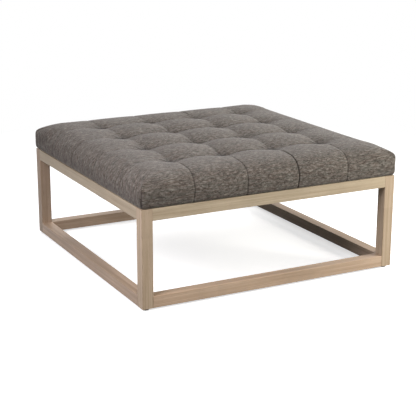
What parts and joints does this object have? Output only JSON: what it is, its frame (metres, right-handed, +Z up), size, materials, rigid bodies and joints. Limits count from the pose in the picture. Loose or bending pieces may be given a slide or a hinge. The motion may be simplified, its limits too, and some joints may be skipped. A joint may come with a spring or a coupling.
{
  "type": "tufted ottoman",
  "caption": "Square low ottoman with a blind-tufted upholstered top on an open frame of square timber legs, top rails and bottom rails, standing on round glides.",
  "frame": {"origin": "on the floor under the middle of the ottoman", "axes": "+X to the right along the front, +Y to the back, +Z up; the front faces -Y"},
  "size_m": [0.918, 0.918, 0.428],
  "materials": {
    "limed_timber": "limed and lacquered, satin",
    "raw_timber": "planed, bare",
    "plywood": "sanded, bare",
    "tweed": "woven, heathered grey-brown",
    "foam": "open cell foam",
    "twine": "twisted, waxed",
    "board_tab": "pressed, bare",
    "zinc_steel": "zinc plated",
    "black_nonwoven": "non-woven",
    "nylon": "moulded, dull"
  },
  "bodies": {
    "root": {"bottom_rail_back": "limed_timber", "bottom_rail_front": "limed_timber", "bottom_rail_left": "limed_timber", "bottom_rail_right": "limed_timber", "corner_block_back_left": "raw_timber", "corner_block_back_right": "raw_timber", "corner_block_front_left": "raw_timber", "corner_block_front_right": "raw_timber", "dust_cover": "black_nonwoven", "foam_core": "foam", "glide_back_left": "nylon", "glide_back_right": "nylon", "glide_front_left": "nylon", "glide_front_right": "nylon", "glide_nails": "zinc_steel", "leg_back_left": "limed_timber", "leg_back_right": "limed_timber", "leg_front_left": "limed_timber", "leg_front_right": "limed_timber", "seat_board": "plywood", "seat_board_screws": "zinc_steel", "top_rail_back": "limed_timber", "top_rail_front": "limed_timber", "top_rail_left": "limed_timber", "top_rail_right": "limed_timber", "tuft_tabs": "board_tab", "tuft_twines": "twine", "tufted_cover": "tweed"}
  },
  "joints": []
}
